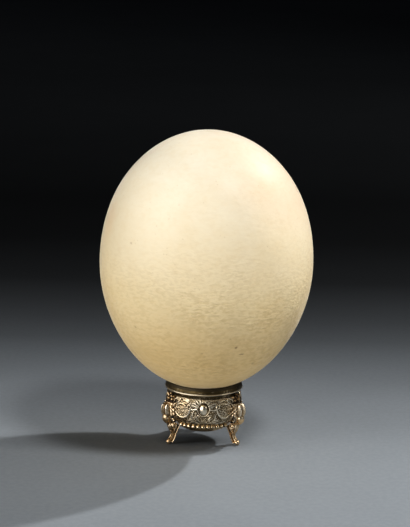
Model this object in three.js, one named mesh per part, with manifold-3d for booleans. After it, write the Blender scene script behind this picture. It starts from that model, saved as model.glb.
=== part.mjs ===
// An ostrich egg standing upright in a small three-footed salt-cellar stand.
// Millimetres, +Z up. The feet rest on z = 0, the stand's axis is the Z axis, and the front is -Y.
// The egg, the spun collar, the hollow bowl and the three cast legs are separate pieces.

import * as THREE from 'three';
import { mergeVertices } from 'three/addons/utils/BufferGeometryUtils.js';
import Module from 'manifold-3d';

const wasm = await Module();
wasm.setup();

// ---- driving dimensions -------------------------------------------------------------------

const GAP = 0.3;                    // clearance between neighbouring pieces

const EGG = {
  radius: 63.5,                     // at the widest level
  widestZ: 110.4,
  upper: 78.5,                      // from the widest level up to the full end
  lower: 77.2,                      // from the widest level down to the pinched end
  fullness: 0.012,                  // swelling of the upper half over a true ellipse
  pinch: 0.013,                     // hollowing of the lower half under a true ellipse
  lean: 0.8,                        // degrees towards +X, as it was set down
  pivotZ: 105.0,                    // the lean turns the egg about this height
  around: 44,
  rings: 13,                        // in each half
};

const COLLAR = {
  topRadius: 21.9,
  lipRadius: 23.45,
  lipZ: 34.0,
  seatRadius: 20.5,                 // inner edge of the chamfer that carries the egg
  boreRadius: 20.1,
  footRadius: 21.3,
  footZ: 31.2,
  around: 44,
};

const BOWL = {
  neckRadius: 21.3,
  neckZ: COLLAR.footZ - GAP,
  bellyRadius: 22.6,
  bellyZ: 23.0,
  hemRadius: 18.0,                  // just above the bead row
  hemZ: 13.9,
  bottomZ: 6.5,                     // the lowest point of the rounded bottom
  wall: 1.3,
  around: 48,
  panels: 3,
};

const BEADS = {
  count: 39,
  ringRadius: 18.2,
  z: 12.8,
  radius: 1.2,
  squash: 0.95,
  dip: 0.25,                        // how far the row comes down at a leg
  lastNearness: 0.95,               // 0 in the middle of a panel and 1 at a leg
};

const CABOCHON = { z: 24.7, width: 4.3, height: 6.0, rim: 0.5, rise: 1.5, tilt: 3 };

const LEG = {
  toeReach: 23.8,                   // from the axis to the middle of the ball toe
  toeRadius: 1.7,
  toeZ: 1.55,                       // a little under the radius, so that the toe is flat below
  plateHalf: 0.9,                   // half the thickness of the flat plate behind the shank
};

const FRONT = -90;                  // azimuth of the front, in degrees from +X

// ---- materials ----------------------------------------------------------------------------

const shellMaterial = new THREE.MeshStandardMaterial({ color: 0xf0dfbb, roughness: 0.5, metalness: 0 });
const collarMaterial = new THREE.MeshStandardMaterial({ color: 0x7d6a4c, roughness: 0.32, metalness: 1 });
const bowlMaterial = new THREE.MeshStandardMaterial({ color: 0xa8977c, roughness: 0.38, metalness: 1 });
const legMaterial = new THREE.MeshStandardMaterial({ color: 0xb5a07e, roughness: 0.34, metalness: 1 });

// ---- geometry helpers ---------------------------------------------------------------------

const radians = THREE.MathUtils.degToRad;

/** A manifold solid from a closed three.js geometry. */
function solid(geometry) {
  const bare = geometry.clone();
  bare.deleteAttribute('normal');
  bare.deleteAttribute('uv');
  const merged = mergeVertices(bare, 1e-4);
  return new wasm.Manifold(new wasm.Mesh({
    numProp: 3,
    vertProperties: new Float32Array(merged.attributes.position.array),
    triVerts: new Uint32Array(merged.index.array),
  }));
}

/** A three.js geometry from a manifold solid. */
function geometryOf(body) {
  const mesh = body.getMesh();
  const geometry = new THREE.BufferGeometry();
  geometry.setAttribute('position', new THREE.BufferAttribute(new Float32Array(mesh.vertProperties), 3));
  geometry.setIndex(new THREE.BufferAttribute(new Uint32Array(mesh.triVerts), 1));
  geometry.computeVertexNormals();
  return geometry;
}

function union(bodies) {
  return bodies.reduce((sum, body) => sum.add(body));
}

/** A body of revolution about Z from [radius, z] pairs that run up its outside. */
function turned(profile, around) {
  const points = profile.map(([radius, z]) => new THREE.Vector2(radius, z));
  return new THREE.LatheGeometry(points, around).rotateX(Math.PI / 2);
}

/** A smooth run of [radius, z] pairs through a few given ones, moved outwards by an offset. */
function smooth(pairs, steps, offset = 0) {
  const curve = new THREE.SplineCurve(pairs.map(([radius, z]) => new THREE.Vector2(radius, z)));
  const run = [];
  for (let step = 0; step <= steps; step += 1) {
    const point = curve.getPoint(step / steps);
    const along = curve.getTangent(step / steps);
    run.push([Math.max(point.x + along.y * offset, 0), point.y - along.x * offset]);
  }
  return run;
}

/** An ellipsoid with half sizes along X, Y and Z. */
function ellipsoid([x, y, z], [halfX, halfY, halfZ], around = 10, rings = 7) {
  const geometry = new THREE.SphereGeometry(1, around, rings).rotateX(Math.PI / 2);
  return geometry.scale(halfX, halfY, halfZ).translate(x, y, z);
}

// ---- the egg ------------------------------------------------------------------------------

/** Radius and height of the shell at a latitude between -90 and +90 degrees. */
function shellPoint(latitude) {
  const reach = Math.sin(radians(latitude));
  const swell = reach > 0 ? EGG.fullness : -EGG.pinch;
  const bulge = 1 + 4 * swell * reach ** 2 * (1 - reach ** 2);
  const length = reach > 0 ? EGG.upper : EGG.lower;
  return [EGG.radius * bulge * Math.cos(radians(latitude)), EGG.widestZ + length * reach];
}

function makeEgg() {
  const profile = [];
  for (let ring = -EGG.rings; ring <= EGG.rings; ring += 1) {
    profile.push(shellPoint((90 * ring) / EGG.rings));
  }
  profile[0][0] = 0;
  profile[profile.length - 1][0] = 0;
  const geometry = turned(profile, EGG.around).translate(0, 0, -EGG.pivotZ);
  const egg = new THREE.Mesh(geometry, shellMaterial);
  egg.name = 'egg';
  const leaning = new THREE.Group();
  leaning.position.z = EGG.pivotZ;
  leaning.rotation.y = radians(EGG.lean);
  leaning.add(egg);
  return leaning;
}

/** Height of the shell's underside at a radius, lowered by the clearance: the seat of the egg. */
function seatHeight(radius) {
  const share = radius / EGG.radius;
  const depth = Math.sqrt(1 - share ** 2);
  const hollowed = share / (1 - 4 * EGG.pinch * depth ** 2 * (1 - depth ** 2));
  return EGG.widestZ - EGG.lower * Math.sqrt(1 - hollowed ** 2) - GAP;
}

// ---- the collar ---------------------------------------------------------------------------

/** Outside of the collar from its foot, through the cove under the lip, up to the top edge. */
function collarOutside(grow = 0) {
  const { footRadius, footZ, lipRadius, lipZ, topRadius } = COLLAR;
  return [
    [footRadius + grow, footZ - grow],
    [lipRadius - 1.4 + grow, lipZ - 1.7 - grow],
    [lipRadius - 0.9 + grow, lipZ - 0.6 - grow],
    [lipRadius + grow, lipZ - 0.4 - grow],
    [lipRadius + grow, lipZ + 0.1],
    [lipRadius - 0.5 + grow, lipZ + 1.8],
    [topRadius + grow, seatHeight(topRadius)],
  ];
}

function makeCollar() {
  const { seatRadius, boreRadius, footZ } = COLLAR;
  const profile = [
    ...collarOutside(),
    [seatRadius, seatHeight(seatRadius)],
    [boreRadius, seatHeight(boreRadius) - GAP],
    [boreRadius, footZ],
  ];
  profile.push(profile[0]);
  const collar = new THREE.Mesh(turned(profile, COLLAR.around), collarMaterial);
  collar.name = 'stand_collar';
  return collar;
}

// ---- the bowl -----------------------------------------------------------------------------

const { neckRadius, neckZ, bellyRadius, bellyZ, hemRadius, hemZ, bottomZ } = BOWL;

/** Wall of the bowl from the hem above the beads up to the neck. */
const wallCurve = [
  [hemRadius, hemZ],
  [20.3, 15.3],
  [22.0, 18.2],
  [bellyRadius, bellyZ],
  [22.5, 27.2],
  [22.1, 29.6],
  [neckRadius, neckZ],
];

/** Rounded bottom from its lowest point out to the bead row. */
const bottomCurve = [
  [0, bottomZ],
  [6.2, bottomZ + 0.3],
  [11.4, bottomZ + 1.4],
  [15.1, bottomZ + 3.4],
  [17.3, bottomZ + 6.1],
];

/** The bowl's outline from the axis to the neck, moved outwards by an offset. */
function bowlOutline(offset, bottomSteps, wallSteps) {
  const outline = [...smooth(bottomCurve, bottomSteps, offset), ...smooth(wallCurve, wallSteps, offset)];
  outline[0][0] = 0;
  outline[outline.length - 1][1] = neckZ;
  return outline;
}

/** The bead row: faceted studs half sunk in the bowl. It dips towards each leg and stops beside it. */
function beadRow() {
  const studs = [];
  for (let index = 0; index < BEADS.count; index += 1) {
    const turn = (360 * index) / BEADS.count;
    const nearness = (1 - Math.cos(radians(BOWL.panels * turn))) / 2;
    if (nearness > BEADS.lastNearness) continue;
    studs.push(new THREE.OctahedronGeometry(BEADS.radius)
      .scale(1, 1, BEADS.squash)
      .translate(BEADS.ringRadius, 0, BEADS.z - BEADS.dip * nearness)
      .rotateZ(radians(FRONT + turn)));
  }
  return studs;
}

/** A raised oval stone-shaped boss with a rim, in the middle of a panel. */
function cabochon(panel) {
  const { z, width, height, rim, rise, tilt } = CABOCHON;
  const angle = radians(FRONT + (360 * panel) / BOWL.panels);
  const dome = ellipsoid([0, 0, 0], [rise, width / 2, height / 2], 10, 5);
  const frame = new THREE.CylinderGeometry(1, 1, 2 * rim, 12).rotateZ(Math.PI / 2);
  frame.scale(1, width / 2 + rim, height / 2 + rim);
  return [dome, frame].map((shape) => solid(shape
    .rotateY(radians(-tilt))
    .translate(bellyRadius, 0, z)
    .rotateZ(angle)));
}

function makeBowl() {
  const outside = bowlOutline(0, 4, 8);
  const inside = bowlOutline(-BOWL.wall, 3, 4);
  const hollow = turned([...outside, ...inside.reverse()], BOWL.around);
  const parts = [hollow, ...beadRow()].map(solid);
  for (let panel = 0; panel < BOWL.panels; panel += 1) parts.push(...cabochon(panel));
  const bowl = new THREE.Mesh(geometryOf(union(parts)), bowlMaterial);
  bowl.name = 'stand_bowl';
  return bowl;
}

// ---- the legs -----------------------------------------------------------------------------

/** A tapering bar along [reach, z, halfDepth, halfWidth] stations, made from a cylinder. */
function bar(stations, around, steps) {
  const line = new THREE.CatmullRomCurve3(stations.map(([reach, z]) => new THREE.Vector3(reach, 0, z)));
  const sizes = new THREE.SplineCurve(stations.map(([, , depth, width]) => new THREE.Vector2(depth, width)));
  const geometry = new THREE.CylinderGeometry(1, 1, 1, around, steps);
  const position = geometry.attributes.position;
  for (let index = 0; index < position.count; index += 1) {
    const share = THREE.MathUtils.clamp(0.5 - position.getY(index), 0, 1);
    const centre = line.getPoint(share);
    const tangent = line.getTangent(share);
    const size = sizes.getPoint(share);
    const outward = new THREE.Vector3(-tangent.z, 0, tangent.x);
    const across = -position.getZ(index) * size.y;
    const depth = position.getX(index) * size.x;
    position.setXYZ(index, centre.x + outward.x * depth, across, centre.z + outward.z * depth);
  }
  return geometry;
}

/** One cast leg, pointing along +X: berries, crest and beans, drop, knee, volutes, shank and toe. */
function legBlank() {
  const spine = bar([
    [21.9, 31.4, 0.8, 1.5],
    [22.4, 29.6, 1.3, 2.9],
    [23.3, 26.6, 1.4, 2.9],
    [24.4, 22.5, 1.9, 3.6],
    [24.5, 18.6, 1.8, 3.2],
    [24.2, 15.4, 1.8, 2.1],
    [22.9, 12.9, 1.4, 1.7],
    [21.8, 10.6, 1.5, 1.9],
    [21.1, 8.2, 1.2, 1.6],
    [21.1, 5.9, 1.0, 1.3],
    [21.8, 3.8, 0.95, 1.2],
    [23.2, 2.1, 0.9, 1.3],
  ], 7, 10);
  const berries = [
    [22.9, 0, 31.2, 0.9],
    [23.6, -1.3, 29.7, 0.95],
    [23.6, 1.3, 29.7, 0.95],
    [23.3, -2.9, 29.2, 0.9],
    [23.3, 2.9, 29.2, 0.9],
    [24.1, 0, 27.9, 1.1],
  ].map(([reach, across, z, radius]) => ellipsoid([reach, across, z], [radius, radius, radius], 5, 4));
  const crest = ellipsoid([26.6, 0, 22.2], [2.7, 0.8, 4.5], 6, 6);
  const beans = [-1, 1].map((side) => ellipsoid([25.9, 2.0 * side, 22.0], [1.9, 1.1, 4.0], 6, 6));
  const drop = bar([
    [25.7, 17.9, 2.2, 2.65],
    [25.8, 16.8, 2.25, 2.7],
    [25.5, 15.3, 2.0, 2.2],
    [24.6, 13.8, 1.2, 1.3],
    [23.9, 12.8, 0.4, 0.5],
  ], 7, 4);
  const knee = ellipsoid([22.3, 0, 10.8], [1.7, 1.9, 2.6], 7, 5);
  const volutes = [-1, 1].map((side) => ellipsoid([21.3, 2.2 * side, 12.0], [1.8, 1.4, 1.8], 6, 4));
  const plate = bar([
    [17.6, 11.6, LEG.plateHalf, 2.6],
    [18.5, 9.4, LEG.plateHalf, 2.3],
    [19.6, 6.2, LEG.plateHalf, 1.8],
    [20.6, 3.0, LEG.plateHalf, 1.5],
    [21.9, 1.1, LEG.plateHalf, 1.4],
  ], 5, 3);
  const toe = ellipsoid([LEG.toeReach, 0, LEG.toeZ], [LEG.toeRadius, LEG.toeRadius, LEG.toeRadius], 8, 6);
  return union([spine, ...berries, crest, ...beans, drop, knee, ...volutes, plate, toe].map(solid));
}

function makeLegs() {
  const bowlClearance = solid(turned([...bowlOutline(GAP, 4, 8), [0, neckZ]], BOWL.around));
  const collarOutline = collarOutside(GAP);
  const [, footZ] = collarOutline[0];
  const [, topZ] = collarOutline[collarOutline.length - 1];
  const collarClearance = solid(turned([[0, footZ], ...collarOutline, [0, topZ]], COLLAR.around));
  const belowFloor = solid(new THREE.BoxGeometry(80, 80, 10).translate(0, 0, -5));
  const blank = legBlank();
  const legs = [];
  for (const [name, turn] of [['leg_front_left', -60], ['leg_front_right', 60], ['leg_back', 180]]) {
    const placed = solid(geometryOf(blank).rotateZ(radians(FRONT + turn)));
    const cut = placed.subtract(bowlClearance).subtract(collarClearance).subtract(belowFloor);
    const leg = new THREE.Mesh(geometryOf(cut), legMaterial);
    leg.name = name;
    legs.push(leg);
  }
  return legs;
}

// ---- the whole object ---------------------------------------------------------------------

const group = new THREE.Group();
group.add(makeEgg(), makeCollar(), makeBowl(), ...makeLegs());

export default group;
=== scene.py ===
"""An ostrich egg in a small footed silver stand: the looks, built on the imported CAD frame.

Meshes are written in millimetres and made in metres; materials and the floor are in metres.
+Z is up, the stand's axis is the Z axis, and the front is -Y.
"""

import math

import bpy
import numpy as np
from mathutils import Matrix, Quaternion, Vector, noise


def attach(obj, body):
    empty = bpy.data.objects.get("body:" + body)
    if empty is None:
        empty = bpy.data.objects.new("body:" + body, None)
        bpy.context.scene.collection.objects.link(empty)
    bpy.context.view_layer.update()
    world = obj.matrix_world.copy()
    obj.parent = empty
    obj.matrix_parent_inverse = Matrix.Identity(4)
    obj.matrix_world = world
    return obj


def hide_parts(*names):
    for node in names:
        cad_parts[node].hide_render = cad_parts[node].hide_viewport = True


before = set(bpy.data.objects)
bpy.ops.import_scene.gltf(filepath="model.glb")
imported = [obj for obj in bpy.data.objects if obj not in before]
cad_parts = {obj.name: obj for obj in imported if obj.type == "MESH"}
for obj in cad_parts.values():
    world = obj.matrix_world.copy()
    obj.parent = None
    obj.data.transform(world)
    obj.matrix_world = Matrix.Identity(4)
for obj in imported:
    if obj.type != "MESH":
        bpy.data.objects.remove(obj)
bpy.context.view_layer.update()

MM = 0.001
FRONT = -90.0                        # azimuth of the front, in degrees from +X
PANELS = 3                           # panels of the bowl, one between each two legs
PANEL_TURN = 360.0 / PANELS
LEG_TURNS = {"leg_front_left": -60.0, "leg_front_right": 60.0, "leg_back": 180.0}

# ---- dimensions, in millimetres ----

EGG = dict(radius=63.5, widest_z=110.4, upper=78.5, lower=77.2, fullness=0.012, pinch=0.013,
           lean=math.radians(0.8), pivot_z=105.0)
COLLAR = dict(top=21.9, lip=23.45, lip_z=34.0, seat=20.5, bore=20.1, foot=21.3, foot_z=31.2)
# The bowl's outside as (radius, z) pairs: the wall upwards, and the bottom from the axis outwards.
BOWL_WALL = [(18.0, 13.9), (20.3, 15.3), (22.0, 18.2), (22.6, 23.0), (22.5, 27.2), (22.1, 29.6),
             (21.3, 30.9)]
BOWL_BOTTOM = [(0, 6.5), (6.2, 6.8), (11.4, 7.9), (15.1, 9.9), (17.3, 12.6)]
BELLY = 22.6                         # the bowl's largest radius
WALL_THICKNESS = 1.3
CLEARANCE = 0.3                      # between the egg and the collar
BEADS = dict(count=39, ring=18.2, z=12.8, radius=1.2, half_width=1.38, half_height=1.14, dip=0.25,
             last_nearness=0.95)
CABOCHON = dict(z=24.7, s=13.0, half_width=2.4, half_height=3.3, rise=1.6, sunk=0.05,
                tilt=math.radians(3))

# ---- mesh helpers ----


def smoothstep(low, high, value):
    """0 below low, 1 above high and a soft step between them; low may be the higher one."""
    share = np.clip((np.asarray(value, float) - low) / (high - low), 0, 1)
    return share * share * (3 - 2 * share)


def catmull_rom(points, count):
    """A smooth run of count points through the given ones."""
    points = np.asarray(points, float)
    last = len(points) - 1
    place = np.linspace(0, last, count)
    index = np.minimum(place.astype(int), last - 1)
    share = (place - index)[:, None]
    before, start = points[np.maximum(index - 1, 0)], points[index]
    end, after = points[index + 1], points[np.minimum(index + 2, last)]
    leaving, arriving = (end - before) / 2, (after - start) / 2
    cubic = 2 * start - 2 * end + leaving + arriving
    square = 3 * end - 3 * start - 2 * leaving - arriving
    return cubic * share**3 + square * share**2 + leaving * share + start


def evenly(points, count):
    """The same line with its points at equal distances, and its length."""
    along = np.r_[0, np.cumsum(np.linalg.norm(np.diff(points, axis=0), axis=1))]
    places = np.linspace(0, along[-1], count)
    return np.stack([np.interp(places, along, column) for column in points.T], axis=1), along[-1]


def offset_line(line, distance):
    """An outline of (radius, z) pairs moved outwards by a distance."""
    along = np.gradient(line, axis=0)
    along /= np.linalg.norm(along, axis=1)[:, None]
    moved = line + np.stack([along[:, 1], -along[:, 0]], axis=1) * np.reshape(distance, (-1, 1))
    moved[:, 0] = np.maximum(moved[:, 0], 0)
    return moved


def turn_z(points, degrees):
    """Points turned about the Z axis."""
    c, s = math.cos(math.radians(degrees)), math.sin(math.radians(degrees))
    return np.asarray(points) @ np.array([[c, s, 0], [-s, c, 0], [0, 0, 1]])


def turn_y(points, angle):
    """Points turned about the Y axis by an angle that takes +Z towards +X."""
    c, s = math.cos(angle), math.sin(angle)
    return np.asarray(points) @ np.array([[c, 0, -s], [0, 1, 0], [s, 0, c]])


def joined(parts):
    """One (points, faces) pair from several."""
    points, faces, start = [], [], 0
    for part_points, part_faces in parts:
        points.append(part_points)
        faces.extend([tuple(corner + start for corner in face) for face in part_faces])
        start += len(part_points)
    return np.concatenate(points), faces


def make_mesh(name, points, faces):
    """A smooth-shaded mesh from points in millimetres."""
    mesh = bpy.data.meshes.new(name)
    mesh.from_pydata((np.asarray(points) * MM).tolist(), [], [tuple(face) for face in faces])
    mesh.update()
    mesh.shade_smooth()
    return mesh


def mesh_points(mesh):
    """The points of a mesh in millimetres, one to a row."""
    points = np.empty(len(mesh.vertices) * 3)
    mesh.vertices.foreach_get("co", points)
    return points.reshape(-1, 3) / MM


def store(mesh, key, values):
    """Keeps a number for each point of a mesh, for its material to read."""
    layer = mesh.attributes.new(key, "FLOAT", "POINT")
    layer.data.foreach_set("value", np.asarray(values, np.float32))


def add_object(name, data):
    """A new object in the scene."""
    made = bpy.data.objects.new(name, data)
    bpy.context.scene.collection.objects.link(made)
    return made


def add_piece(name, mesh, material, slot, *replaced):
    """Puts a mesh in the scene as a piece that rides on the one body."""
    piece = add_object(name, mesh)
    mesh.materials.clear()
    mesh.materials.append(material)
    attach(piece, "root")
    if replaced:
        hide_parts(*replaced)


def ring_angles(around, start=FRONT):
    """Even angles round a ring, in radians, from a start in degrees."""
    return np.linspace(0, 2 * math.pi, around, endpoint=False) + math.radians(start)


def ring_grid(profile, angles):
    """A closed (radius, z) outline turned about the Z axis: a ring of points to a row, and quads."""
    rows, around = len(profile), len(angles)
    radius, height = profile[:, :1], profile[:, 1:]
    points = np.stack([radius * np.cos(angles), radius * np.sin(angles),
                       np.repeat(height, around, axis=1)], axis=2)
    faces = []
    for row in range(rows):
        after = (row + 1) % rows
        for column in range(around):
            beside = (column + 1) % around
            faces.append((row * around + column, row * around + beside,
                          after * around + beside, after * around + column))
    return points, faces


def capped_faces(rings, around):
    """Faces over a first point, some rings and a last point; the two points close the ends."""
    end = rings * around + 1
    faces = []
    for row in range(rings - 1):
        for step in range(around):
            first, second = 1 + row * around + step, 1 + row * around + (step + 1) % around
            faces.append((first, second, second + around, first + around))
    for step in range(around):
        faces.append((0, 1 + (step + 1) % around, 1 + step))
        faces.append((end, end - around + step, end - around + (step + 1) % around))
    return faces


def tube(line, first_radius, last_radius, around=10):
    """A round tube along a line, whose radius changes evenly, with low points as its ends."""
    end_height = 0.6                 # of the end points, as a share of the radius
    off_line = [0.31, 0.52, 0.79]    # a direction in which none of the lines runs
    radii = np.linspace(first_radius, last_radius, len(line))
    along = np.gradient(line, axis=0)
    along /= np.linalg.norm(along, axis=1)[:, None]
    side = np.cross(along[0], off_line)
    points = [line[0] - along[0] * radii[0] * end_height]
    for centre, direction, radius in zip(line, along, radii):
        side = side - direction * (side @ direction)
        side /= np.linalg.norm(side)
        other = np.cross(direction, side)
        for step in range(around):
            angle = 2 * math.pi * step / around
            points.append(centre + radius * (math.cos(angle) * side + math.sin(angle) * other))
    points.append(line[-1] + along[-1] * radii[-1] * end_height)
    return np.array(points), capped_faces(len(line), around)


def blob(centre, half, around=20, rings=12):
    """An ellipsoid with half sizes along X, Y and Z."""
    latitudes = np.linspace(-math.pi / 2, math.pi / 2, rings + 1)[1:-1]
    turns = ring_angles(around, 0)
    points = [(0, 0, -1)]
    for latitude in latitudes:
        points.extend((math.cos(latitude) * math.cos(turn), math.cos(latitude) * math.sin(turn),
                       math.sin(latitude)) for turn in turns)
    points.append((0, 0, 1))
    return np.array(points) * half + centre, capped_faces(len(latitudes), around)


def convexity(mesh, rounds, scale):
    """How far each point stands proud of its smoothed surroundings: 0.5 flat, 1 proud, 0 sunk."""
    points = mesh_points(mesh)
    count = len(points)
    normals = np.empty(count * 3)
    mesh.vertices.foreach_get("normal", normals)
    normals = normals.reshape(-1, 3)
    edges = np.empty(len(mesh.edges) * 2, np.int64)
    mesh.edges.foreach_get("vertices", edges)
    first, second = edges.reshape(-1, 2).T
    degree = np.maximum(np.bincount(edges, minlength=count), 1)[:, None]
    smooth = points.copy()
    for _ in range(rounds):
        total = np.stack([np.bincount(first, smooth[second, axis], count)
                          + np.bincount(second, smooth[first, axis], count)
                          for axis in range(3)], axis=1)
        smooth = 0.5 * smooth + 0.5 * total / degree
    proud = ((points - smooth) * normals).sum(axis=1)
    return np.clip(0.5 + proud / (2 * scale), 0, 1)


# ---- node helpers ----


class Shader:
    """A material's node tree, with short calls for the nodes that the finishes use."""

    def __init__(self, name):
        self.material = bpy.data.materials.new(name)
        self.material.use_nodes = True
        self.tree = self.material.node_tree
        self.surface = next(n for n in self.tree.nodes if n.type == "BSDF_PRINCIPLED")

    def node(self, kind, **settings):
        """A new node with its settings."""
        made = self.tree.nodes.new(kind)
        for key, value in settings.items():
            setattr(made, key, value)
        return made

    def feed(self, socket, value):
        """Links a socket or sets a constant; None leaves the input as it is."""
        if isinstance(value, bpy.types.NodeSocket):
            self.tree.links.new(value, socket)
        elif value is not None:
            socket.default_value = value

    def set(self, name, value):
        """Links or sets an input of the surface."""
        self.feed(self.surface.inputs[name], value)

    def place(self, stretch=(1, 1, 1)):
        """Object coordinates in metres, scaled along each axis."""
        coordinates = self.node("ShaderNodeTexCoord").outputs["Object"]
        return self.vector("MULTIPLY", coordinates, stretch)

    def vector(self, operation, first, second=None):
        made = self.node("ShaderNodeVectorMath", operation=operation)
        self.feed(made.inputs[0], first)
        self.feed(made.inputs[1], second)
        return made.outputs["Value" if operation == "LENGTH" else "Vector"]

    def math(self, operation, first, second=None):
        made = self.node("ShaderNodeMath", operation=operation)
        self.feed(made.inputs[0], first)
        self.feed(made.inputs[1], second)
        return made.outputs[0]

    def noise(self, place, scale, detail=3.0, roughness=0.55, output=0):
        made = self.node("ShaderNodeTexNoise")
        self.feed(made.inputs["Vector"], place)
        self.feed(made.inputs["Scale"], scale)
        self.feed(made.inputs["Detail"], detail)
        self.feed(made.inputs["Roughness"], roughness)
        return made.outputs[output]

    def cell_distance(self, place, scale):
        """The distance to the middle of the nearest of many scattered cells."""
        made = self.node("ShaderNodeTexVoronoi")
        self.feed(made.inputs["Vector"], place)
        self.feed(made.inputs["Scale"], scale)
        return made.outputs["Distance"]

    def range(self, value, low, high, to_low=0.0, to_high=1.0, soft=True):
        """A value mapped from one range to another and kept inside it; low may be the higher one."""
        made = self.node("ShaderNodeMapRange", interpolation_type="SMOOTHSTEP" if soft else "LINEAR")
        for socket, number in zip(made.inputs, (value, low, high, to_low, to_high)):
            self.feed(socket, number)
        return made.outputs[0]

    def ramp(self, value, stops):
        """A colour ramp from (position, colour) stops."""
        made = self.node("ShaderNodeValToRGB")
        elements = made.color_ramp.elements
        while len(elements) < len(stops):
            elements.new(0.5)
        for element, (position, colour) in zip(elements, stops):
            element.position = position
            element.color = (*colour, 1)
        self.feed(made.inputs[0], value)
        return made.outputs["Color"]

    def mix(self, share, first, second, blend="MIX"):
        """Two colours mixed, or the first one multiplied by the second, as far as the share says."""
        made = self.node("ShaderNodeMix", data_type="RGBA", blend_type=blend)
        self.feed(made.inputs["Factor"], share)
        for name, value in (("A", first), ("B", second)):
            socket = next(s for s in made.inputs if s.name == name and s.type == "RGBA")
            self.feed(socket, (*value, 1) if isinstance(value, tuple) else value)
        return next(s for s in made.outputs if s.type == "RGBA")

    def attribute(self, key):
        """A number that the mesh keeps for its points."""
        return self.node("ShaderNodeAttribute", attribute_name=key).outputs["Fac"]

    def along(self, axis):
        """The distance along X, Y or Z in metres."""
        split = self.node("ShaderNodeSeparateXYZ")
        self.feed(split.inputs[0], self.node("ShaderNodeTexCoord").outputs["Object"])
        return split.outputs[axis]

    def bump(self, height, strength, distance, below=None):
        """A normal bent by a height, over another bump where there is one below it."""
        made = self.node("ShaderNodeBump")
        self.feed(made.inputs["Height"], height)
        self.feed(made.inputs["Strength"], strength)
        self.feed(made.inputs["Distance"], distance)
        self.feed(made.inputs["Normal"], below)
        return made.outputs["Normal"]


# ---- the egg ----

SHELL_GRID = 124                     # quads along each edge of the six patches

# The relief of the shell: fine dimples over softer lumps, fainter in broad patches.
DIMPLE = dict(width=3.0, height=1.5, depth=0.085, sink=0.045)
LUMP = dict(width=9.0, height=5.0)
PATCHINESS = dict(width=30.0, height=30.0, shift=7.0)

# Painted shade and light: the shell's colour from its lower to its upper end, painted darker below and
# lighter on top: (place from 0 to 1, colour).
SHELL_PAINTED_SHADING = [(0.05, (0.81, 0.58, 0.27)), (0.20, (0.71, 0.52, 0.25)), (0.42, (0.845, 0.68, 0.40)),
               (0.70, (0.90, 0.785, 0.575)), (0.90, (0.93, 0.85, 0.68)), (1.0, (0.95, 0.885, 0.74))]
SHADING_FROM, SHADING_TO = 0.030, 0.190      # heights in metres
CLOUD_TINT = (0.965, 0.94, 0.89)
MOTTLE_TINT = (0.985, 0.97, 0.94)
# Painted shade in the hollows of the wrinkles:
PIT_SHADE_TINT = (0.80, 0.76, 0.68)
PORE_COLOUR = (0.52, 0.37, 0.19)
# Painted shade: a broad patch high on the shell's right side, painted a little darker and browner,
# where the key lamp falls strongest.
PAINTED_SHADE_PATCH = dict(centre=(30, -14, 166), half=50.0, tint=(0.90, 0.84, 0.81))

# Stains: place, half sizes along X, Y and Z, colour, strength. Broad ones fade out more softly.
BROAD_STAIN = 5.0
MARKS = [
    ((18.0, -50.8, 71.0), (1.0, 1.6, 1.1), (0.22, 0.11, 0.04), 0.70),
    ((21.3, -46.7, 66.1), (2.3, 2.6, 0.55), (0.18, 0.09, 0.03), 0.65),
    ((-1.5, -52.0, 67.2), (0.9, 1.6, 0.6), (0.30, 0.18, 0.07), 0.50),
    ((0.0, -50.8, 65.2), (1.2, 1.6, 0.5), (0.34, 0.21, 0.09), 0.40),
    ((14.6, -54.7, 76.9), (0.8, 1.6, 0.6), (0.36, 0.22, 0.10), 0.35),
    ((28.0, -36.1, 57.7), (0.9, 1.8, 1.2), (0.34, 0.20, 0.09), 0.45),
    ((-40.1, -41.8, 79.8), (0.8, 1.2, 0.7), (0.34, 0.20, 0.09), 0.45),
    ((-43.1, -44.0, 129.7), (0.8, 1.2, 0.8), (0.44, 0.28, 0.12), 0.35),
    ((-56.5, -18.8, 137.9), (9.0, 12.0, 20.0), (0.80, 0.50, 0.24), 0.28),
    ((51.9, -27.6, 82.2), (7.0, 9.0, 8.0), (0.62, 0.44, 0.20), 0.30),
    ((30.0, 50.0, 92.0), (12.0, 12.0, 9.0), (0.66, 0.48, 0.24), 0.25),
    ((-24.0, 52.0, 70.0), (1.1, 1.4, 1.0), (0.24, 0.13, 0.05), 0.60),
]


def shell_point(reach):
    """Radius and height of the shell where the sine of the latitude is reach."""
    swell = np.where(reach > 0, EGG["fullness"], -EGG["pinch"])
    length = np.where(reach > 0, EGG["upper"], EGG["lower"])
    bulge = 1 + 4 * swell * reach**2 * (1 - reach**2)
    radius = EGG["radius"] * bulge * np.sqrt(np.maximum(1 - reach**2, 0))
    return radius, EGG["widest_z"] + length * reach


def cube_sphere(count):
    """Directions spread evenly over a sphere, as six joined square patches, and their quads."""
    spread = np.tan(np.linspace(-1, 1, count + 1) * math.pi / 4)
    u, v = np.meshgrid(spread, spread, indexing="ij")
    one = np.ones_like(u)
    patches = [(one, u, v), (-one, -u, v), (-u, one, v), (u, -one, v), (-v, u, one), (v, u, -one)]
    points = np.concatenate([np.stack(patch, axis=2).reshape(-1, 3) for patch in patches])
    points /= np.linalg.norm(points, axis=1)[:, None]
    _, first, shared = np.unique(np.round(points, 6), axis=0, return_index=True,
                                 return_inverse=True)
    shared = shared.ravel()
    corner = np.arange(count * (count + 1)).reshape(count, count + 1)[:, :-1].ravel()
    quad = np.stack([corner, corner + count + 1, corner + count + 2, corner + 1], axis=1)
    quads = np.concatenate([quad + patch * (count + 1) ** 2 for patch in range(6)])
    return points[first], shared[quads]


def shell_noise(points, width, height, shift=0.0):
    """Smooth noise between -1 and 1 at each point, with lumps of a width and a height."""
    return np.array([noise.noise(Vector((x / width, y / width, z / height + shift)))
                     for x, y, z in points])


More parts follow.
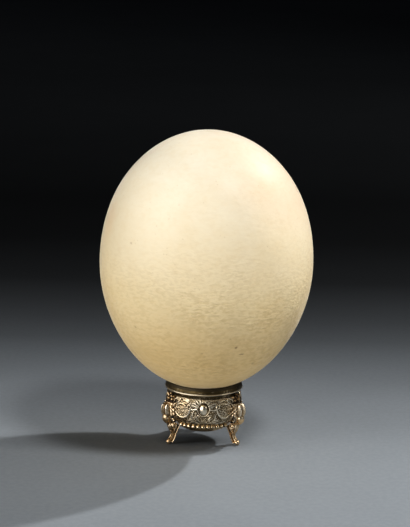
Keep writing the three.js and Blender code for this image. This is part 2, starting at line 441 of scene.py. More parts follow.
def egg_mesh():
    """The whole shell with its shallow relief, leaning a little in the collar."""
    directions, faces = cube_sphere(SHELL_GRID)
    reach = directions[:, 2]
    radius, height = shell_point(reach)
    flat = np.maximum(np.hypot(directions[:, 0], directions[:, 1]), 1e-9)
    points = np.stack([radius * directions[:, 0] / flat, radius * directions[:, 1] / flat, height],
                      axis=1)
    centre = np.array([0, 0, EGG["widest_z"]])
    outward = (points - centre) / np.array([EGG["radius"], EGG["radius"], EGG["upper"]]) ** 2
    outward /= np.linalg.norm(outward, axis=1)[:, None]
    fine = shell_noise(points, DIMPLE["width"], DIMPLE["height"])
    soft = shell_noise(points, **LUMP)
    patchy = shell_noise(points, **PATCHINESS)
    # The texture is full round the middle and fades out towards both ends.
    textured = smoothstep(172, 132, height) * smoothstep(44, 62, height) * (0.75 + 0.7 * patchy)
    relief = DIMPLE["depth"] * np.clip(textured, 0.08, 1.2) * (fine + 0.5 * soft) - DIMPLE["sink"]
    points = points + outward * relief[:, None]
    pivot = np.array([0, 0, EGG["pivot_z"]])
    return make_mesh("egg_shell", turn_y(points - pivot, EGG["lean"]) + pivot, faces.tolist())


def shell_material():
    """Satin cream shell: painted shade and light along its height and on one side, clouds, mottling,
    pores, stains and wrinkles.
    """
    sh = Shader("ostrich_shell")
    here = sh.place()
    # Painted shade and light along the shell's height.
    rise = sh.range(sh.along("Z"), SHADING_FROM, SHADING_TO, soft=False)
    colour = sh.ramp(rise, SHELL_PAINTED_SHADING)
    cloudy = sh.range(sh.noise(here, 26, 4), 0.35, 0.68)
    colour = sh.mix(cloudy, colour, CLOUD_TINT, "MULTIPLY")
    mottled = sh.range(sh.noise(sh.place((1, 1, 1.8)), 210, 3), 0.42, 0.72)
    colour = sh.mix(mottled, colour, MOTTLE_TINT, "MULTIPLY")
    # Painted shade on the side of the shell that the key lamp lights most.
    away = sh.vector("SUBTRACT", here, tuple(value * MM for value in PAINTED_SHADE_PATCH["centre"]))
    away = sh.math("DIVIDE", sh.vector("LENGTH", away), PAINTED_SHADE_PATCH["half"] * MM)
    colour = sh.mix(sh.range(away, 1.0, 0.45), colour, PAINTED_SHADE_PATCH["tint"], "MULTIPLY")
    # Pores, kept in some places only.
    pores = sh.range(sh.cell_distance(here, 330), 0.20, 0.07)
    kept = sh.range(sh.noise(here, 90, 2), 0.50, 0.62)
    pores = sh.math("MULTIPLY", pores, kept)
    colour = sh.mix(sh.math("MULTIPLY", pores, 0.22), colour, PORE_COLOUR)
    # Stains with ragged edges.
    wander = sh.vector("SUBTRACT", sh.noise(here, 700, output="Color"), (0.5, 0.5, 0.5))
    ragged = sh.vector("ADD", here, sh.vector("MULTIPLY", wander, (0.0016, 0.0016, 0.0012)))
    for place, half, stain, strength in MARKS:
        away = sh.vector("SUBTRACT", ragged, tuple(value * MM for value in place))
        away = sh.vector("LENGTH", sh.vector("DIVIDE", away, tuple(value * MM for value in half)))
        full_within = 0.15 if max(half) > BROAD_STAIN else 0.45
        colour = sh.mix(sh.range(away, 1.0, full_within, 0.0, strength), colour, stain)
    # Wrinkles: strongest round the middle, and stronger on the right than on the left.
    wrinkled = sh.math("MULTIPLY", sh.range(sh.along("Z"), 0.138, 0.092, 0.15, 1.0),
                       sh.range(sh.along("Z"), 0.038, 0.062, 0.35, 1.0))
    wrinkled = sh.math("MULTIPLY", wrinkled, sh.range(sh.along("X"), -0.045, 0.010, 0.55, 1.1))
    patchy = sh.range(sh.noise(here, 34, 2), 0.36, 0.62, 0.60, 1.15)
    wrinkled = sh.math("MULTIPLY", wrinkled, patchy)
    grain = sh.noise(sh.place((1, 1, 2.1)), 310, 2, 0.5)
    # Painted shade: the hollows of the wrinkles are painted darker, as well as bumped.
    hollow = sh.math("MULTIPLY", sh.range(grain, 0.58, 0.38), wrinkled)
    colour = sh.mix(sh.math("MULTIPLY", hollow, 0.56), colour, PIT_SHADE_TINT, "MULTIPLY")
    sh.set("Base Color", colour)
    sh.set("Roughness", sh.range(mottled, 0, 1, 0.46, 0.54))
    sh.set("Specular IOR Level", 0.18)
    sh.set("Coat Weight", 0.03)
    sh.set("Coat Roughness", 0.24)
    sh.set("Sheen Weight", 0.26)
    sh.set("Sheen Roughness", 0.20)
    normal = sh.bump(sh.math("MULTIPLY", grain, wrinkled), 1.0, 0.00065)
    normal = sh.bump(pores, 0.35, -0.0002, normal)
    sh.set("Normal", normal)
    return sh.material


# ---- metal ----


def metal_material(name, dark, middle, bright, tint, tint_share, roughness):
    """Old silver: dark patina where the surface is sunk, worn bright metal where it stands proud.

    The mesh keeps two numbers for each point: proud, which in places also carries painted light and
    painted shade, and gilt where the tint always shows.
    """
    sh = Shader(name)
    here = sh.place()
    blotch = sh.math("SUBTRACT", sh.noise(here, 700, 3, 0.6), 0.5)
    patchy = sh.math("SUBTRACT", sh.noise(here, 140, 3, 0.5), 0.5)
    # Wear, and in places painted light and shade, from the proud number.
    wear_and_painted_light = sh.math("ADD", sh.attribute("proud"), sh.math("MULTIPLY", blotch, 0.55))
    wear_and_painted_light = sh.math("ADD", wear_and_painted_light, sh.math("MULTIPLY", patchy, 0.35))
    colour = sh.ramp(wear_and_painted_light, [(0.22, dark), (0.45, middle), (0.74, bright)])
    warm = sh.range(sh.noise(here, 95, 3), 0.40, 0.66)
    gilt = sh.math("MULTIPLY", warm, tint_share)
    gilt = sh.math("MAXIMUM", gilt, sh.attribute("gilt"))
    colour = sh.mix(gilt, colour, tint, "MULTIPLY")
    specks = sh.range(sh.noise(here, 1500, 2, 0.7), 0.60, 0.72)
    colour = sh.mix(sh.math("MULTIPLY", specks, 0.45), colour, dark)
    sh.set("Base Color", colour)
    sh.set("Metallic", sh.range(wear_and_painted_light, 0.10, 0.40, 0.70, 1.0))
    sh.set("Roughness", sh.range(wear_and_painted_light, 0.15, 0.75, roughness + 0.22, roughness))
    scratched = sh.noise(sh.place((1, 1, 3)), 1800, 3, 0.6)
    sh.set("Normal", sh.bump(scratched, 0.25, 0.00012))
    return sh.material


# ---- the collar ----

COLLAR_COLUMNS = 240
LIP_BEAD = 0.32                      # radius of the thin roll along the lip


def seat_height(radius):
    """Height of the shell's underside at a radius, lowered by the clearance."""
    share = radius / EGG["radius"]
    depth = math.sqrt(1 - share**2)
    hollowed = share / (1 - 4 * EGG["pinch"] * depth**2 * (1 - depth**2))
    return EGG["widest_z"] - EGG["lower"] * math.sqrt(1 - hollowed**2) - CLEARANCE


def collar_mesh():
    """The flared ring under the egg, from its cove up to its lip and over to its seat."""
    lip, lip_z, top = COLLAR["lip"], COLLAR["lip_z"], COLLAR["top"]
    cove = catmull_rom([(COLLAR["foot"], COLLAR["foot_z"]), (21.5, 31.9), (21.8, 32.5),
                        (22.45, 33.15), (23.05, 33.35)], 16)
    bead_angles = np.radians(np.linspace(-60, 80, 9))
    bead = np.stack([lip - LIP_BEAD + LIP_BEAD * np.cos(bead_angles),
                     lip_z - 0.25 + LIP_BEAD * np.sin(bead_angles)], axis=1)
    band = catmull_rom([(lip - 0.30, lip_z + 0.12), (lip - 0.38, lip_z + 1.0),
                        (lip - 0.75, lip_z + 2.1), (top + 0.25, seat_height(top) - 0.25),
                        (top, seat_height(top))], 22)
    seat = [(top - 0.4, seat_height(top - 0.4)), (COLLAR["seat"], seat_height(COLLAR["seat"])),
            (COLLAR["bore"], seat_height(COLLAR["bore"]) - CLEARANCE),
            (COLLAR["bore"], COLLAR["foot_z"])]
    profile = np.concatenate([cove, bead, band, seat])
    grid, faces = ring_grid(profile, ring_angles(COLLAR_COLUMNS))
    # The lip is worn bright and the band above it is dull. The cove below it is painted lighter, as
    # painted light in its shade, and the top under the egg is painted dark, as a painted contact
    # shadow.
    near_lip = np.hypot(profile[:, 0] - lip + 0.15, profile[:, 1] - lip_z + 0.25)
    proud = np.where(near_lip < 0.5, 0.85, 0.40)
    proud = np.where(profile[:, 1] < lip_z - 0.8, 0.44, proud)
    proud = np.where(profile[:, 1] > seat_height(top) - 1.5, 0.04, proud)
    mesh = make_mesh("collar_ring", grid.reshape(-1, 3), faces)
    store(mesh, "proud", np.repeat(proud, COLLAR_COLUMNS))
    store(mesh, "gilt", np.zeros(len(mesh.vertices)))
    return mesh


# ---- the bowl and its relief ----

PANEL_COLUMNS = 264
WALL_ROWS = 94
RELIEF = 0.46                        # how far the ornament stands over the ground
RELIEF_FADE = 0.3                    # over which it fades out at the wall's edges
MOAT = dict(half_width=3.15, half_height=4.0, depth=0.8)     # the ground round a cabochon
POLE = 0.05                          # radius of the smallest rings, on the axis


class Relief:
    """A height map of one panel. u runs along the belly and s up the wall, in millimetres."""

    def __init__(self, wall_length):
        half = math.radians(PANEL_TURN / 2) * BELLY
        self.u, self.s = np.meshgrid(np.linspace(-half, half, PANEL_COLUMNS, endpoint=False),
                                     np.linspace(0, wall_length, WALL_ROWS))
        self.map = np.zeros_like(self.u)

    def raise_to(self, height):
        """Adds a form: the higher one shows where two overlap."""
        self.map = np.maximum(self.map, height)

    def stroke(self, points, width, height=1.0, groove=0.0, both=True):
        """A rounded line that tapers with its widths; groove cuts a channel along its middle."""
        steps = 44
        line, _ = evenly(catmull_rom(points, 60), steps)
        widths = np.interp(np.linspace(0, 1, steps), np.linspace(0, 1, len(width)), width)
        for side in (1, -1) if both else (1,):
            near = np.full(self.u.shape, np.inf)
            for (u, s), half in zip(line, widths):
                near = np.minimum(near, np.hypot(self.u - side * u, self.s - s) / half)
            body = height * np.sqrt(np.clip(1 - near**2, 0, 1))
            if groove:
                body -= groove * np.clip(1 - near / 0.4, 0, 1)
            self.raise_to(body)

    def ball(self, u, s, radius, height=1.0, both=True):
        """A round knob."""
        for side in (1, -1) if both else (1,):
            near = np.hypot(self.u - side * u, self.s - s) / radius
            self.raise_to(height * np.sqrt(np.clip(1 - near**2, 0, 1)))

    def leaf(self, base, tip, half, height=0.8, bend=0.0, both=True):
        """A pointed leaf with a midrib, bent sideways by a distance."""
        base, tip = np.array(base, float), np.array(tip, float)
        across = np.array([-(tip - base)[1], (tip - base)[0]])
        across /= np.linalg.norm(across)
        middle = (base + tip) / 2 + across * bend
        shape = [0.35 * half, half, 0.9 * half, 0.5 * half, 0.12 * half]
        self.stroke([base, middle, tip], shape, height, groove=0.35 * height, both=both)

    def stipple(self, pitch, low, high, centre=(0, 0), half=(99, 99), both=False):
        """Punched dots of uneven height, in shifted rows with a little wander, inside an ellipse."""
        wander = np.random.default_rng(5)
        step_u, step_s = self.u[0, 1] - self.u[0, 0], self.s[1, 0] - self.s[0, 0]
        reach = int(pitch / step_u) + 1
        ground = np.zeros_like(self.map)
        for row, s in enumerate(np.arange(0.3, self.s.max(), pitch * 0.87)):
            for u in np.arange(self.u.min(), self.u.max(), pitch):
                u_dot = u + (row % 2) * pitch / 2 + wander.uniform(-0.2, 0.2) * pitch
                s_dot = s + wander.uniform(-0.2, 0.2) * pitch
                height = wander.uniform(low, high)
                across = abs(u_dot) if both else u_dot
                if math.hypot((across - centre[0]) / half[0], (s_dot - centre[1]) / half[1]) > 1:
                    continue
                column, line = int((u_dot - self.u.min()) / step_u), int(s_dot / step_s)
                lines = slice(max(line - reach, 0), line + reach + 1)
                columns = slice(max(column - reach, 0), column + reach + 1)
                near = np.hypot(self.u[lines, columns] - u_dot,
                                self.s[lines, columns] - s_dot) / (pitch * 0.46)
                dot = height * np.clip(1 - near**2, 0, 1)
                ground[lines, columns] = np.maximum(ground[lines, columns], dot)
        self.raise_to(ground)


def panel_ornament(relief):
    """Rococo scrollwork round a bezel: C scrolls, leaves, a ray palmette and beaded trails.

    Places are (u, s) pairs in millimetres, from the panel's middle and from the foot of the wall.
    """
    middle_s = CABOCHON["s"]
    ring = np.linspace(0, 2 * math.pi, 40)
    relief.stipple(1.05, 0.12, 0.70)
    relief.stipple(1.15, 0.45, 0.95, (12.9, 10.6), (4.4, 3.6), both=True)
    bezel = [(3.55 * math.sin(a), middle_s + 4.35 * math.cos(a)) for a in ring]
    relief.stroke(bezel, [0.30], 0.62, both=False)
    # The large C scroll with its inner curl and its ball tip.
    relief.stroke([(9.2, 13.0), (9.9, 14.2), (9.0, 15.2), (7.9, 14.3), (8.2, 12.4), (9.0, 10.0),
                   (10.6, 7.9), (13.2, 6.7), (15.8, 7.1), (18.0, 8.6)],
                  [0.35, 0.42, 0.55, 0.62, 0.66, 0.60, 0.45], 1.0)
    relief.ball(18.5, 9.2, 0.78, 1.1)
    relief.stroke([(17.9, 12.2), (17.2, 14.0), (15.2, 15.2), (12.8, 15.2), (11.2, 14.2)],
                  [0.55, 0.60, 0.50, 0.30], 0.85)
    relief.ball(17.7, 12.4, 0.72, 1.0)
    # Bars and balls beside the bezel.
    relief.stroke([(4.0, 12.8), (5.3, 12.7), (6.6, 12.5)], [0.72, 0.50, 0.35], 1.0)
    relief.ball(4.3, 12.8, 0.80, 1.0)
    relief.ball(6.9, 12.5, 0.72, 1.0)
    # The ray palmette over the bezel.
    for turn, length in ((0, 2.3), (24, 2.6), (46, 3.2), (64, 4.0), (78, 4.3)):
        lean = math.radians(turn)
        base = (3.3 * math.sin(lean), middle_s + 3.9 * math.cos(lean))
        tip = (base[0] + length * math.sin(lean), min(base[1] + length * math.cos(lean) + 0.4, 19.0))
        relief.leaf(base, tip, 0.62, 0.85, bend=0.15, both=turn > 0)
    # Upper scroll, its ball, and the sprays between it and the palmette.
    relief.ball(15.4, 17.9, 0.80, 1.1)
    relief.stroke([(15.6, 17.2), (16.5, 15.9), (18.4, 15.2), (20.0, 15.8)],
                  [0.50, 0.55, 0.40, 0.22], 0.9)
    relief.leaf((9.2, 16.6), (13.6, 17.6), 0.80, 0.75, bend=0.5)
    relief.leaf((8.8, 17.4), (12.2, 19.0), 0.65, 0.65, bend=0.3)
    relief.leaf((10.2, 15.9), (14.0, 16.3), 0.55, 0.6, bend=-0.2)
    relief.stroke([(24.5, 13.4), (21.6, 15.0), (18.8, 17.4), (15.4, 18.9), (8.0, 19.2), (0.0, 19.3)],
                  [0.35, 0.38, 0.40, 0.34, 0.28], 0.8)
    # Beaded trail and acanthus beside the leg.
    for u, s, radius in ((19.7, 13.8, 0.62), (20.6, 12.3, 0.55), (21.0, 10.6, 0.50), (16.9, 17.0, 0.42),
                         (20.9, 8.9, 0.45), (18.9, 11.0, 0.45)):
        relief.ball(u, s, radius, 0.95)
    relief.leaf((20.3, 3.6), (21.4, 7.6), 0.75, 0.8, bend=0.3)
    relief.leaf((18.9, 3.4), (19.2, 6.6), 0.62, 0.7, bend=0.2)
    relief.leaf((17.6, 3.0), (17.0, 5.2), 0.55, 0.65)
    # The lower garland: a central shell, a stem to each side, and leaves on both sides of it.
    for turn in (0, 28, 54):
        lean = math.radians(turn)
        tip = (3.2 * math.sin(lean), 3.2 + 3.9 * math.cos(lean))
        relief.leaf((0.7 * math.sin(lean), 3.2), tip, 0.78, 0.85, both=turn > 0)
    relief.stroke([(1.6, 3.6), (4.4, 4.3), (6.6, 6.0), (7.4, 8.2), (6.6, 9.8)],
                  [0.45, 0.42, 0.36, 0.25], 0.85)
    relief.leaf((3.4, 5.2), (4.4, 8.6), 0.85, 0.95, bend=0.3)
    relief.leaf((5.4, 5.0), (8.8, 4.0), 0.85, 0.95, bend=-0.3)
    relief.leaf((6.6, 6.2), (10.0, 5.2), 0.72, 0.9, bend=-0.2)
    relief.leaf((4.4, 4.2), (6.8, 2.4), 0.65, 0.8, bend=-0.2)
    relief.leaf((8.6, 2.6), (12.4, 3.8), 0.70, 0.85, bend=0.3)
    relief.leaf((12.2, 2.6), (15.6, 4.6), 0.62, 0.75, bend=0.3)
    relief.ball(3.1, 9.0, 0.62, 1.0)
    relief.ball(8.0, 6.9, 0.45, 0.9)
    # A plain roll along the foot of the wall.
    relief.stroke([(0, 0.7), (24.5, 0.7)], [0.45], 0.75)


def bowl_mesh():
    """The hollow bowl with the relief on its wall. Each panel is centred between two legs."""
    wall, wall_length = evenly(catmull_rom(BOWL_WALL, 400), WALL_ROWS)
    relief = Relief(wall_length)
    panel_ornament(relief)
    moat = np.hypot(relief.u / MOAT["half_width"],
                    (relief.s - CABOCHON["s"]) / MOAT["half_height"])
    height = np.tile(np.where(moat < 1, -MOAT["depth"], relief.map), (1, PANELS))
    up = relief.s[:, :1]
    fade = smoothstep(0, RELIEF_FADE, up) * smoothstep(wall_length, wall_length - RELIEF_FADE, up)
    lift = height * RELIEF * fade
    bottom = catmull_rom(BOWL_BOTTOM, 9)
    bottom[0] = (POLE, BOWL_BOTTOM[0][1])
    inside = offset_line(catmull_rom(BOWL_BOTTOM + BOWL_WALL, 12), -WALL_THICKNESS)[::-1]
    inside[-1] = (POLE, BOWL_BOTTOM[0][1] + WALL_THICKNESS)
    inside[0, 1] = BOWL_WALL[-1][1]
    angles = ring_angles(PANELS * PANEL_COLUMNS, FRONT - PANEL_TURN / 2)
    grid, faces = ring_grid(np.concatenate([bottom, wall, inside]), angles)
    rows = slice(len(bottom), len(bottom) + WALL_ROWS)
    direction = offset_line(wall, 1.0) - wall
    radius = wall[:, :1] + direction[:, :1] * lift
    grid[rows, :, 0] = radius * np.cos(angles)
    grid[rows, :, 1] = radius * np.sin(angles)
    grid[rows, :, 2] += direction[:, 1:] * lift
    mesh = make_mesh("bowl_relief", grid.reshape(-1, 3), faces)
    proud = np.full(grid.shape[:2], 0.45)
    # Painted light: the underside is painted bright, though it sits in shade.
    proud[:len(bottom)] = 0.85
    proud[rows] = 0.12 + 0.80 * np.clip(height + 0.05, 0, 1)
    store(mesh, "proud", 0.55 * proud.ravel() + 0.45 * convexity(mesh, 6, 0.10))
    gilt = np.zeros(grid.shape[:2])
    gilt[:len(bottom)] = 0.9
    store(mesh, "gilt", gilt.ravel())
    return mesh


def bead_row_mesh():
    """Round beads under the wall. The row dips towards each leg and stops beside it."""
    parts, proud = [], []
    for index in range(BEADS["count"]):
        turn = 360.0 * index / BEADS["count"]
        nearness = (1 - math.cos(math.radians(PANELS * turn))) / 2
        if nearness > BEADS["last_nearness"]:
            continue
        wide = BEADS["half_width"]
        points, faces = blob((BEADS["ring"], 0, BEADS["z"] - BEADS["dip"] * nearness),
                             (BEADS["radius"], wide, BEADS["half_height"]), 18, 12)
        parts.append((turn_z(points, FRONT + turn), faces))
        # Painted light: a bead is painted brightest on its upper half, and it is painted darker towards
        # its neighbours.
        upper = smoothstep(BEADS["z"] - 1.0, BEADS["z"] + 0.3, points[:, 2])
        proud.append((0.40 + 0.48 * upper) * smoothstep(0.97, 0.66, np.abs(points[:, 1]) / wide))
    mesh = make_mesh("bead_row", *joined(parts))
    proud = np.concatenate(proud)
    store(mesh, "proud", proud)
    store(mesh, "gilt", np.full(len(proud), 0.6))
    return mesh


def cabochon_mesh(panel):
    """A smooth oval dome, set in the moat of its panel."""
    wide, tall = CABOCHON["half_width"], CABOCHON["half_height"]
    points, faces = blob((0, 0, 0), (CABOCHON["rise"], wide, tall), 40, 32)
    middle = np.array([BELLY - CABOCHON["sunk"], 0, CABOCHON["z"]])
    points = turn_y(points, -CABOCHON["tilt"]) + middle
    mesh = make_mesh(f"cabochon_{panel}", turn_z(points, FRONT + PANEL_TURN * panel), faces)
    store(mesh, "proud", np.full(len(points), 0.72))
    store(mesh, "gilt", np.zeros(len(points)))
    return mesh


# ---- the legs ----

LEG_VOXEL = 0.17
# Bars of a leg, as (reach from the axis, z, half depth, half width) stations from the top down.
SPINE = [(21.9, 31.4, 0.8, 1.5), (22.3, 29.6, 1.1, 2.9), (23.0, 26.6, 1.1, 3.0),
         (23.8, 22.5, 1.3, 3.7), (24.0, 18.6, 1.3, 3.2), (24.0, 15.4, 1.5, 2.0),
         (22.9, 12.9, 1.2, 1.4), (21.8, 10.6, 1.2, 1.5), (21.1, 8.2, 1.1, 1.4),
         (21.1, 5.9, 0.95, 1.1), (21.8, 3.8, 0.9, 1.0), (23.0, 2.4, 0.9, 1.0)]
PLATE = [(17.6, 11.6, 0.5, 2.6), (18.5, 9.4, 0.5, 2.3), (19.6, 6.2, 0.5, 1.8),
         (20.6, 3.0, 0.5, 1.5), (21.9, 1.1, 0.6, 1.4)]
DROP = [(25.4, 18.0, 1.9, 2.45), (25.85, 17.3, 2.25, 2.7), (25.7, 15.9, 2.15, 2.5),
        (25.1, 14.5, 1.6, 1.8), (24.4, 13.3, 0.9, 1.0), (24.0, 12.6, 0.2, 0.25)]
# Places on a leg: reach, distance across it and z, then the radius where it is a ball.
TOE = (23.8, 0, 1.58)
BERRIES = [(22.3, 0, 31.4, 0.90), (22.8, 1.6, 30.1, 0.95), (22.3, 3.4, 30.3, 0.90),
           (23.7, 0, 28.7, 1.15), (23.1, 2.4, 28.4, 0.85)]
LOBE_BALLS = [(23.5, 4.9, 25.7, 0.62), (22.8, 6.0, 24.3, 0.45)]
# Acanthus lobes beside the beans: place, lean in degrees, half length.
LOBES = [(24.5, 3.7, 24.0, 38, 1.75), (24.3, 3.8, 21.6, 30, 1.55), (24.1, 3.7, 19.4, 22, 1.3),
         (23.5, 5.1, 22.6, 46, 1.35), (23.3, 5.0, 20.2, 36, 1.15)]
BEANS = dict(place=(25.8, 2.0, 22.1), half=(2.0, 0.95, 4.0))


def bar(stations, around, steps):
    """A tapering bar along (reach, z, half depth, half width) stations, with an oval section."""
    line = catmull_rom(stations, steps)
    along = np.gradient(line[:, :2], axis=0)
    along /= np.linalg.norm(along, axis=1)[:, None]
    angles = ring_angles(around, 0)
    rows = []
    for (reach, z, depth, width), (run, rise) in zip(line, along):
        out = np.cos(angles) * depth
        rows.append(np.stack([reach - rise * out, np.sin(angles) * width, z + run * out], axis=1))
    first_end, last_end = ([[reach, 0, z]] for reach, z in (line[0, :2], line[-1, :2]))
    return np.concatenate([first_end, *rows, last_end]), capped_faces(steps, around)


def mirrored(part):
    """The same part on the other side of the leg."""
    points, faces = part
    return points * np.array([1, -1, 1]), [tuple(reversed(face)) for face in faces]


def lean_across(degrees):
    """A rotation in the plane across the leg that leans the upper end inwards, for row vectors."""
    c, s = math.cos(math.radians(degrees)), math.sin(math.radians(degrees))
    return np.array([[1, 0, 0], [0, c, s], [0, -s, c]])


def spiral(centre, start, end, turns, steps=40):
    """A spiral in the reach-z plane that winds in to its centre."""
    share = np.linspace(0, 1, steps)
    angle = 2 * math.pi * turns * share + math.radians(100)
    radius = start + (end - start) * share
    return np.stack([centre[0] + radius * np.cos(angle), np.full(steps, centre[1]),
                     centre[2] + radius * np.sin(angle)], axis=1)


def leg_parts():
    """Every form of one cast leg, pointing along +X."""
    middle, side = [bar(SPINE, 20, 48), bar(PLATE, 16, 24)], []
    # Berry cluster, balls over the lobes, and a hood that runs out into the panels' border.
    for reach, across, z, radius in BERRIES + LOBE_BALLS:
        side.append(blob((reach, across, z), (radius, radius, radius)))
    hood = catmull_rom([(22.3, 5.6, 28.7), (22.9, 4.6, 27.4), (23.9, 3.0, 26.7), (24.9, 1.6, 26.5),
                        (25.4, 0.0, 26.6)], 24)
    side.append(tube(hood, 0.30, 0.42))
    # A thin crest between two long beans, and an acanthus leaf with raised lobes on each side.
    middle.append(blob((26.6, 0, 22.2), (2.7, 0.62, 4.5), 24, 28))
    side.append(blob(BEANS["place"], BEANS["half"], 24, 28))
    for reach, across, z, tilt, long in LOBES:
        points, faces = blob((0, 0, 0), (0.62, 0.55, long), 14, 14)
        points = points @ lean_across(tilt) + np.array([reach, across, z])
        side.append((points, faces))
    # Smooth drop, and the leafy knee with a volute on each side.
    middle.append(bar(DROP, 28, 24))
    middle.append(blob((23.2, 0, 10.9), (1.0, 0.7, 2.5), 20, 16))
    knee = catmull_rom([(23.4, 1.0, 12.8), (23.5, 1.7, 11.4), (22.7, 1.5, 9.2), (21.9, 0.8, 7.2)], 20)
    side.append(tube(knee, 0.7, 0.45))
    side.append(blob((21.6, 2.0, 12.0), (1.8, 1.0, 1.8), 24, 16))
    side.append(tube(spiral((21.7, 3.0, 12.0), 1.75, 0.3, 1.3), 0.46, 0.32, 8))
    side.append(blob((21.7, 3.1, 12.0), (0.55, 0.45, 0.55), 12, 8))
    calf = catmull_rom([(20.2, 2.2, 10.6), (20.7, 2.0, 8.9), (21.3, 1.3, 7.2)], 14)
    side.append(tube(calf, 0.65, 0.35))
    # A rib down the shank that curls over the toe, and a rim along each edge of the plate behind it.
    rib = catmull_rom([(22.2, 0, 8.4), (22.0, 0, 6.2), (22.6, 0, 4.6), (23.6, 0, 3.5)], 20)
    middle.append(tube(rib, 0.55, 0.5))
    rim = catmull_rom([(reach + 0.1, width, z) for reach, z, _, width in PLATE], 24)
    side.append(tube(rim, 0.46, 0.36))
    middle.append(blob(TOE, (1.7, 1.7, 1.62), 28, 20))
    return middle + side + [mirrored(part) for part in side]


def leg_mesh():
    """The forms of a leg fused into one skin and softened a little."""
    blank = add_object("leg_blank", make_mesh("leg_blank", *joined(leg_parts())))
    fuse = blank.modifiers.new("fuse", "REMESH")
    fuse.mode = "VOXEL"
    fuse.voxel_size = LEG_VOXEL * MM
    soften = blank.modifiers.new("soften", "SMOOTH")
    soften.factor = 0.5
    soften.iterations = 2
    evaluated = blank.evaluated_get(bpy.context.evaluated_depsgraph_get())
    fused = bpy.data.meshes.new_from_object(evaluated)
    bpy.data.objects.remove(blank)
    return fused


def add_legs(material):
    """Three casts of the same leg, with their proud and gilt places."""
    fused = leg_mesh()
    points = mesh_points(fused)
    points[:, 2] = np.maximum(points[:, 2], 0)
    reach, aside, z = points[:, 0], np.abs(points[:, 1]), points[:, 2]
    convex = convexity(fused, 14, 0.16)
    proud = 0.62 * convex + 0.22
    # The drop and the beans are smooth and worn evenly bright, and this also paints light over their
    # shaded lower parts.
    smooth_drop = smoothstep(12.4, 13.6, z) * smoothstep(17.6, 17.0, z) * smoothstep(23.2, 24.0, reach)
    proud = np.maximum(proud, 0.72 * smooth_drop)
    beans = smoothstep(1.0, 0.6, np.abs(aside - BEANS["place"][1])) * smoothstep(26.2, 26.9, reach)
    proud = np.maximum(proud, 0.78 * beans * smoothstep(18.6, 19.4, z))
    # The cluster at the top is bright on its berries and nearly black between them.
    off_berry = np.full(len(points), np.inf)
    for berry_reach, across, berry_z, radius in BERRIES:
        away = np.stack([reach - berry_reach, aside - across, z - berry_z], axis=1)
        off_berry = np.minimum(off_berry, np.linalg.norm(away, axis=1) / radius)
    berry = smoothstep(1.2, 1.05, off_berry) * smoothstep(0.45, 0.75, convex)
    cluster = smoothstep(26.4, 27.0, z)
    proud += cluster * (0.02 + 0.49 * berry - proud)
    gilt = np.maximum(0.85 * smooth_drop, 0.55 * smoothstep(12.5, 9.0, z))
    gilt = np.maximum(gilt, 0.6 * cluster)
    for name, turn in LEG_TURNS.items():
        mesh = fused.copy()
        mesh.vertices.foreach_set("co", (turn_z(points, FRONT + turn) * MM).ravel())
        mesh.update()
        mesh.shade_smooth()
        store(mesh, "proud", proud)
        store(mesh, "gilt", gilt)
        add_piece(f"cast_{name}", mesh, material, "leg_metal", name)


# ---- stage, light and camera ----

CAMERA = dict(distance=1100.0, elevation=12.4, roll=1.1, target=(-0.75, 0.0, 108.9), lens=126.2)
LAMP_COLOUR = (1.0, 0.985, 0.96)
KEY = dict(direction=(0.62, 0.45, 0.64), distance=1570, aim=(0, 0, 60))
WORLD = dict(colour=(0.55, 0.62, 0.75, 1), strength=0.014)
FLOOR_HALF = 9.0                     # metres
FLOOR_COLOUR = (0.238, 0.263, 0.291)
# Painted falloff of light: the share of the floor's colour along Y, brightest just in front of the
# stand and darkest behind it: (y in metres, share of its colour).
FLOOR_PAINTED_FALLOFF = [(-3.4, 0.03), (-1.4, 0.30), (-0.5, 1.1), (-0.1, 1.14), (0.0, 1.02), (0.06, 0.82),
              (0.13, 0.57), (0.18, 0.41), (0.24, 0.22), (0.30, 0.130), (0.36, 0.078), (0.43, 0.034),
              (0.60, 0.012), (0.80, 0.011), (1.2, 0.032), (1.9, 0.09), (3.5, 0.36)]
# The deepest shadow, painted on the paper beside the stand and under it: ellipses in metres.
SHADES = [dict(centre=(-0.048, -0.012, 0.0), half=(0.116, 0.027, 1.0), depth=0.67),
          dict(centre=(-0.008, -0.003, 0.0), half=(0.025, 0.016, 1.0), depth=0.42)]


def floor_material():
    """Matt grey paper with faint clouds and grain, a painted falloff of light along Y and the painted
    deepest shadow.
    """
    sh = Shader("floor_paper")
    here = sh.place()
    # Painted falloff of light along Y.
    near, far = FLOOR_PAINTED_FALLOFF[0][0], FLOOR_PAINTED_FALLOFF[-1][0]
    away = sh.range(sh.along("Y"), near, far, soft=False)
    colour = sh.ramp(away, [((y - near) / (far - near), tuple(share * part for part in FLOOR_COLOUR))
                            for y, share in FLOOR_PAINTED_FALLOFF])
    clouds = sh.range(sh.noise(here, 9, 3), 0.3, 0.7, 0.94, 1.0)
    grain = sh.range(sh.noise(here, 330, 3), 0.3, 0.7, 0.96, 1.04)
    tone = sh.math("MULTIPLY", clouds, grain)
    for shade in SHADES:
        off = sh.vector("DIVIDE", sh.vector("SUBTRACT", here, shade["centre"]), shade["half"])
        dark = sh.range(sh.vector("LENGTH", off), 1.0, 0.25, 1.0, shade["depth"])
        tone = sh.math("MULTIPLY", tone, dark)
    sh.set("Base Color", sh.mix(1.0, colour, tone, "MULTIPLY"))
    sh.set("Roughness", 0.75)
    sh.set("Specular IOR Level", 0.05)
    sh.set("Normal", sh.bump(sh.noise(here, 900, 3), 0.1, 0.0003))
    return sh.material


def add_floor():
    """One wide sheet under the stand."""
    half = FLOOR_HALF / MM
    corners = [(-half, -half, 0), (half, -half, 0), (half, half, 0), (-half, half, 0)]
    mesh = make_mesh("floor", corners, [(0, 1, 2, 3)])
    mesh.materials.append(floor_material())
    add_object("floor", mesh)


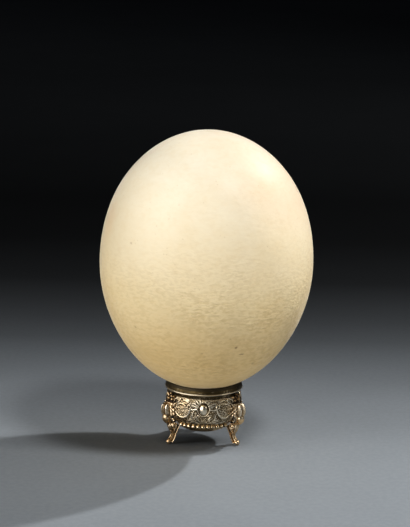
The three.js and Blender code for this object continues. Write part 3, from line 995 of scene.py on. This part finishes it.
def soft_box(name, direction, distance, size, power, aim=(0, 0, 100), sheen=True, soft=True):
    """A round lamp, aimed at a point in millimetres.

    With sheen it shows in glossy surfaces, and with soft it lights matt ones.
    """
    lamp = bpy.data.lights.new(name, "AREA")
    lamp.shape = "DISK"
    lamp.size = size * MM
    lamp.energy = power
    lamp.color = LAMP_COLOUR
    holder = add_object(name, lamp)
    towards = Vector(direction).normalized()
    holder.location = (Vector(aim) + towards * distance) * MM
    holder.rotation_mode = "QUATERNION"
    holder.rotation_quaternion = (-towards).to_track_quat("-Z", "Y")
    holder.visible_glossy = sheen
    holder.visible_diffuse = soft


def add_light():
    """Lamps for matt surfaces, and windows that only show as reflections."""
    world = bpy.data.worlds.new("studio")
    world.use_nodes = True
    background = world.node_tree.nodes["Background"]
    background.inputs["Color"].default_value = WORLD["colour"]
    background.inputs["Strength"].default_value = WORLD["strength"]
    bpy.context.scene.world = world
    soft_box("key", **KEY, size=60, power=18.3, sheen=False)
    soft_box("key_window", **KEY, size=120, power=8.0, soft=False)
    soft_box("top_right", (0.32, -0.33, 0.86), 800, 150, 3.7)
    soft_box("top_left", (-0.76, -0.36, 0.50), 900, 200, 1.0, sheen=False)
    soft_box("left", (-0.93, -0.33, 0.02), 1700, 220, 14.2, sheen=False)
    soft_box("right", (0.93, -0.30, 0.02), 1000, 140, 1.2, sheen=False)
    soft_box("front", (0.06, -1.0, 0.03), 3200, 420, 40.0, sheen=False)
    soft_box("top_left_window", (-0.46, -0.33, 0.82), 800, 240, 1.4, soft=False)
    soft_box("left_window", (-0.80, -0.60, 0.16), 900, 1250, 14.5, soft=False)
    soft_box("right_window", (0.90, -0.30, 0.30), 1000, 420, 1.15, soft=False)
    view = bpy.context.scene.view_settings
    view.view_transform = "Standard"
    view.look = "None"
    view.exposure = 0.0


def add_camera():
    """A camera in front of the stand, looking slightly down at it."""
    data = bpy.data.cameras.new("camera")
    data.lens = CAMERA["lens"]
    camera = add_object("camera", data)
    elevation = math.radians(CAMERA["elevation"])
    back = Vector((0, -math.cos(elevation), math.sin(elevation)))
    camera.location = (Vector(CAMERA["target"]) + back * CAMERA["distance"]) * MM
    look = (-back).to_track_quat("-Z", "Y")
    camera.rotation_mode = "QUATERNION"
    camera.rotation_quaternion = look @ Quaternion((0, 0, 1), math.radians(CAMERA["roll"]))
    bpy.context.scene.camera = camera


# ---- the whole ----

add_camera()
add_floor()
add_light()

add_piece("egg_shell", egg_mesh(), shell_material(), "eggshell", "egg")

# Painted shade: the collar's middle tones are painted far darker than the bowl's, for the shade and
# dark reflections under the egg.
collar_metal = metal_material(
    "collar_metal", dark=(0.028, 0.020, 0.008), middle=(0.080, 0.056, 0.024),
    bright=(0.80, 0.70, 0.54), tint=(1.0, 0.86, 0.62), tint_share=0.25, roughness=0.34)
bowl_metal = metal_material(
    "bowl_metal", dark=(0.024, 0.014, 0.005), middle=(0.34, 0.255, 0.140),
    bright=(0.96, 0.845, 0.65), tint=(1.0, 0.80, 0.52), tint_share=0.50, roughness=0.27)
leg_metal = metal_material(
    "leg_metal", dark=(0.022, 0.012, 0.005), middle=(0.33, 0.235, 0.125),
    bright=(0.96, 0.84, 0.65), tint=(1.0, 0.74, 0.44), tint_share=0.45, roughness=0.25)

add_piece("collar_ring", collar_mesh(), collar_metal, "collar_metal", "stand_collar")
add_piece("bowl_relief", bowl_mesh(), bowl_metal, "bowl_metal", "stand_bowl")
add_piece("bead_row", bead_row_mesh(), bowl_metal, "bowl_metal")
for panel in range(PANELS):
    add_piece(f"cabochon_{panel}", cabochon_mesh(panel), bowl_metal, "bowl_metal")
add_legs(leg_metal)
